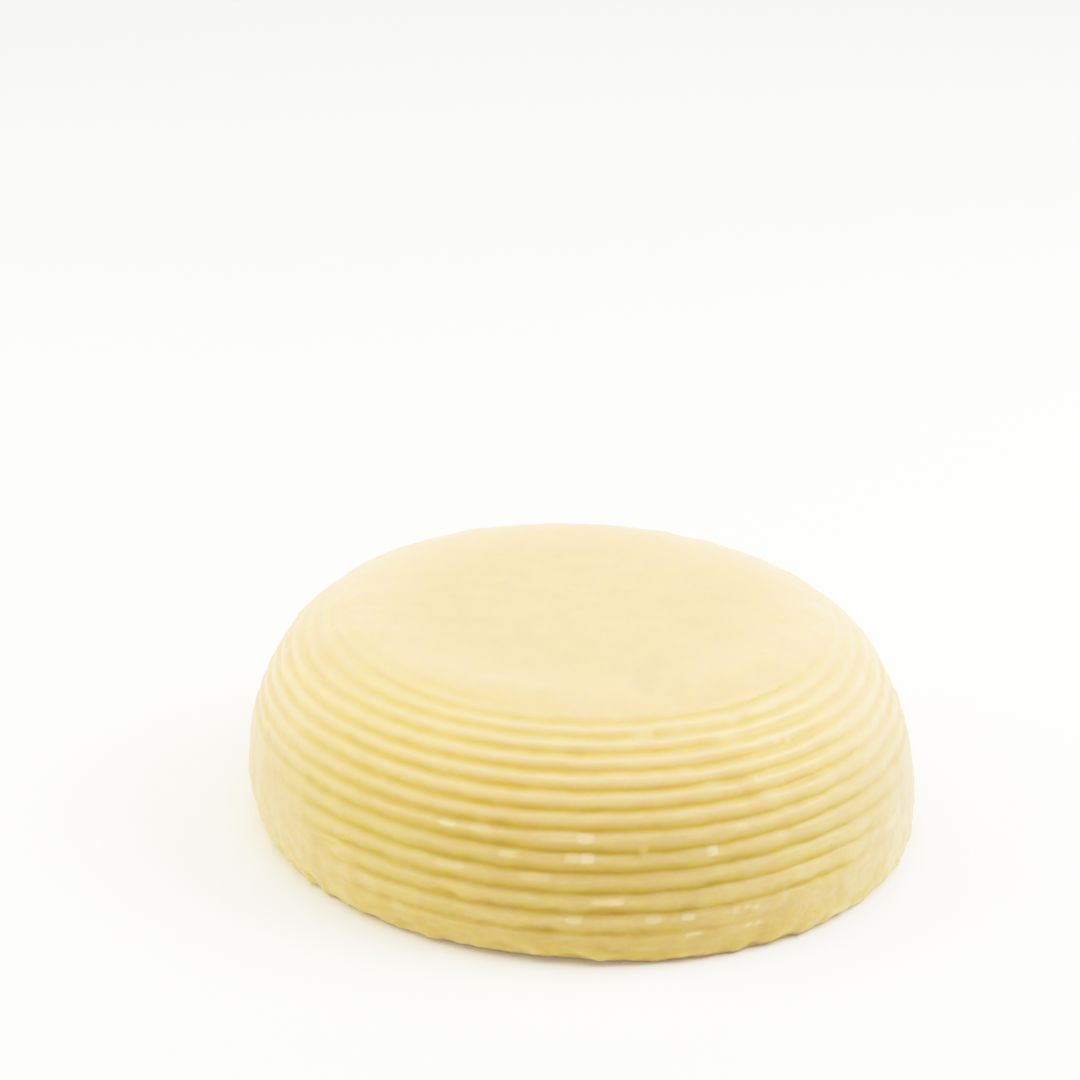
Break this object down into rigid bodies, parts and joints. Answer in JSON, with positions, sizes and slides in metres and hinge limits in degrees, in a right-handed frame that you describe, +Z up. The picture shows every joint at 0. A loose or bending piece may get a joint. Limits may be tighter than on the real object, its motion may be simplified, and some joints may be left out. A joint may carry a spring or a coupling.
{
  "type": "basket cheese",
  "caption": "Round low-domed basket cheese with level rings pressed round its wall, a smooth nearly flat top and a flat foot that it stands on.",
  "frame": {"origin": "middle of the box of the cheese, on the flat foot that it stands on", "axes": "+Z up through the middle of the cheese, -Y to the front that the picture shows, +X to its right"},
  "size_m": [0.1688, 0.1734, 0.0555],
  "materials": {
    "cheese": "pale cream-yellow pressed curd, soft satin, a little see-through at the ridges"
  },
  "bodies": {
    "root": {"cheese": "cheese"}
  },
  "joints": []
}
